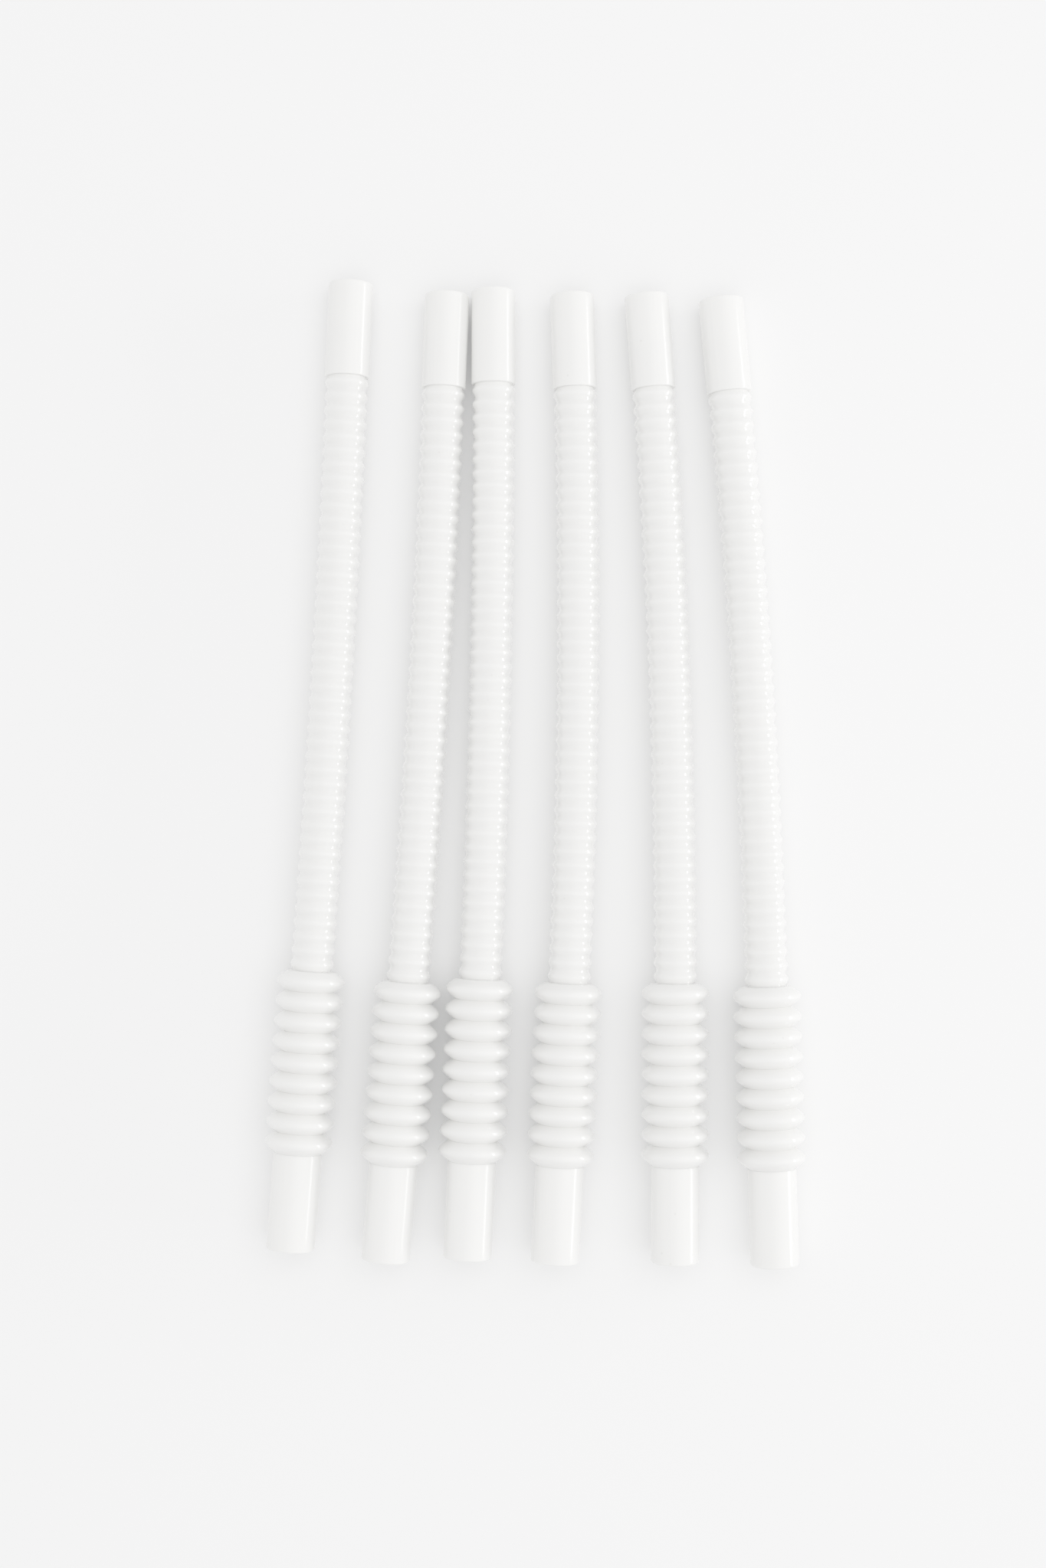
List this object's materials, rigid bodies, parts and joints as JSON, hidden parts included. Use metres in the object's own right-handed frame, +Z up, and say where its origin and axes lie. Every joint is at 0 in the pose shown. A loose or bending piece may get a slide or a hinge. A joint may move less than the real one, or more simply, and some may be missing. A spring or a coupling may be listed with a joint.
{
  "type": "brush cleaner",
  "caption": "Flexible white ribbed tubes in a row, each with a fat bellows near one end and a smooth open sleeve on both ends.",
  "frame": {"origin": "on the table, under the middle of the row of tubes", "axes": "+X across the row, +Y along the tubes towards their top sleeves, +Z up from the table"},
  "size_m": [0.1114, 0.2031, 0.0145],
  "materials": {
    "sleeve": "glossy milky white, slightly translucent",
    "hose": "glossy milky white corrugated moulding",
    "bellows": "satin milky white corrugated moulding"
  },
  "bodies": {
    "tube_1_middle": {"lower_hose_1": "hose", "upper_bellows_1": "bellows"},
    "tube_1_top": {"upper_hose_1": "hose", "top_sleeve_1": "sleeve"},
    "tube_1_tip": {"lower_bellows_1": "bellows", "bottom_sleeve_1": "sleeve"},
    "tube_2_middle": {"lower_hose_2": "hose", "upper_bellows_2": "bellows"},
    "tube_2_top": {"upper_hose_2": "hose", "top_sleeve_2": "sleeve"},
    "tube_2_tip": {"lower_bellows_2": "bellows", "bottom_sleeve_2": "sleeve"},
    "tube_3_middle": {"lower_hose_3": "hose", "upper_bellows_3": "bellows"},
    "tube_3_top": {"upper_hose_3": "hose", "top_sleeve_3": "sleeve"},
    "tube_3_tip": {"lower_bellows_3": "bellows", "bottom_sleeve_3": "sleeve"},
    "tube_4_middle": {"lower_hose_4": "hose", "upper_bellows_4": "bellows"},
    "tube_4_top": {"upper_hose_4": "hose", "top_sleeve_4": "sleeve"},
    "tube_4_tip": {"lower_bellows_4": "bellows", "bottom_sleeve_4": "sleeve"},
    "tube_5_middle": {"lower_hose_5": "hose", "upper_bellows_5": "bellows"},
    "tube_5_top": {"upper_hose_5": "hose", "top_sleeve_5": "sleeve"},
    "tube_5_tip": {"lower_bellows_5": "bellows", "bottom_sleeve_5": "sleeve"},
    "tube_6_middle": {"lower_hose_6": "hose", "upper_bellows_6": "bellows"},
    "tube_6_top": {"upper_hose_6": "hose", "top_sleeve_6": "sleeve"},
    "tube_6_tip": {"lower_bellows_6": "bellows", "bottom_sleeve_6": "sleeve"}
  },
  "joints": [
    {"name": "hose_bend_1", "type": "hinge", "parent": "tube_1_middle", "child": "tube_1_top", "pos_m": [-0.04155, 0.01936, 0.00597], "axis": [0.9991, -0.0419, 0], "range_deg": [0, 75], "deforming": ["upper_hose_1", "lower_hose_1"]},
    {"name": "bellows_bend_1", "type": "hinge", "parent": "tube_1_middle", "child": "tube_1_tip", "pos_m": [-0.04761, -0.06121, 0.00731], "axis": [-0.9972, 0.075, 0], "range_deg": [0, 90], "deforming": ["upper_bellows_1", "lower_bellows_1"]},
    {"name": "lift_2", "type": "slide", "parent": "tube_1_middle", "child": "tube_2_middle", "axis": [0, 0, 1], "range_m": [0, 0.08]},
    {"name": "hose_bend_2", "type": "hinge", "parent": "tube_2_middle", "child": "tube_2_top", "pos_m": [-0.02136, 0.01705, 0.00597], "axis": [0.9993, -0.0384, 0], "range_deg": [0, 75], "deforming": ["upper_hose_2", "lower_hose_2"]},
    {"name": "bellows_bend_2", "type": "hinge", "parent": "tube_2_middle", "child": "tube_2_tip", "pos_m": [-0.02784, -0.06349, 0.00731], "axis": [-0.9968, 0.0802, 0], "range_deg": [0, 90], "deforming": ["upper_bellows_2", "lower_bellows_2"]},
    {"name": "lift_3", "type": "slide", "parent": "tube_1_middle", "child": "tube_3_middle", "axis": [0, 0, 1], "range_m": [0, 0.08]},
    {"name": "hose_bend_3", "type": "hinge", "parent": "tube_3_middle", "child": "tube_3_top", "pos_m": [-0.0086, 0.01779, 0.00597], "axis": [1, 0, 0], "range_deg": [0, 75], "deforming": ["upper_hose_3", "lower_hose_3"]},
    {"name": "bellows_bend_3", "type": "hinge", "parent": "tube_3_middle", "child": "tube_3_tip", "pos_m": [-0.01227, -0.06292, 0.00731], "axis": [-0.999, 0.0454, 0], "range_deg": [0, 90], "deforming": ["upper_bellows_3", "lower_bellows_3"]},
    {"name": "lift_4", "type": "slide", "parent": "tube_1_middle", "child": "tube_4_middle", "axis": [0, 0, 1], "range_m": [0, 0.08]},
    {"name": "hose_bend_4", "type": "hinge", "parent": "tube_4_middle", "child": "tube_4_top", "pos_m": [0.01, 0.01692, 0.00597], "axis": [0.9996, 0.0279, 0], "range_deg": [0, 75], "deforming": ["upper_hose_4", "lower_hose_4"]},
    {"name": "bellows_bend_4", "type": "hinge", "parent": "tube_4_middle", "child": "tube_4_tip", "pos_m": [0.00591, -0.06377, 0.00731], "axis": [-0.9987, 0.0506, 0], "range_deg": [0, 90], "deforming": ["upper_bellows_4", "lower_bellows_4"]},
    {"name": "lift_5", "type": "slide", "parent": "tube_1_middle", "child": "tube_5_middle", "axis": [0, 0, 1], "range_m": [0, 0.08]},
    {"name": "hose_bend_5", "type": "hinge", "parent": "tube_5_middle", "child": "tube_5_top", "pos_m": [0.02899, 0.017, 0.00597], "axis": [0.9974, 0.0715, 0], "range_deg": [0, 75], "deforming": ["upper_hose_5", "lower_hose_5"]},
    {"name": "bellows_bend_5", "type": "hinge", "parent": "tube_5_middle", "child": "tube_5_tip", "pos_m": [0.02885, -0.0638, 0.00731], "axis": [-1, 0.0017, 0], "range_deg": [0, 90], "deforming": ["upper_bellows_5", "lower_bellows_5"]},
    {"name": "lift_6", "type": "slide", "parent": "tube_1_middle", "child": "tube_6_middle", "axis": [0, 0, 1], "range_m": [0, 0.08]},
    {"name": "hose_bend_6", "type": "hinge", "parent": "tube_6_middle", "child": "tube_6_top", "pos_m": [0.04601, 0.01634, 0.00597], "axis": [0.9957, 0.0924, 0], "range_deg": [0, 75], "deforming": ["upper_hose_6", "lower_hose_6"]},
    {"name": "bellows_bend_6", "type": "hinge", "parent": "tube_6_middle", "child": "tube_6_tip", "pos_m": [0.04827, -0.06442, 0.00731], "axis": [-0.9996, -0.0279, 0], "range_deg": [0, 90], "deforming": ["upper_bellows_6", "lower_bellows_6"]}
  ]
}
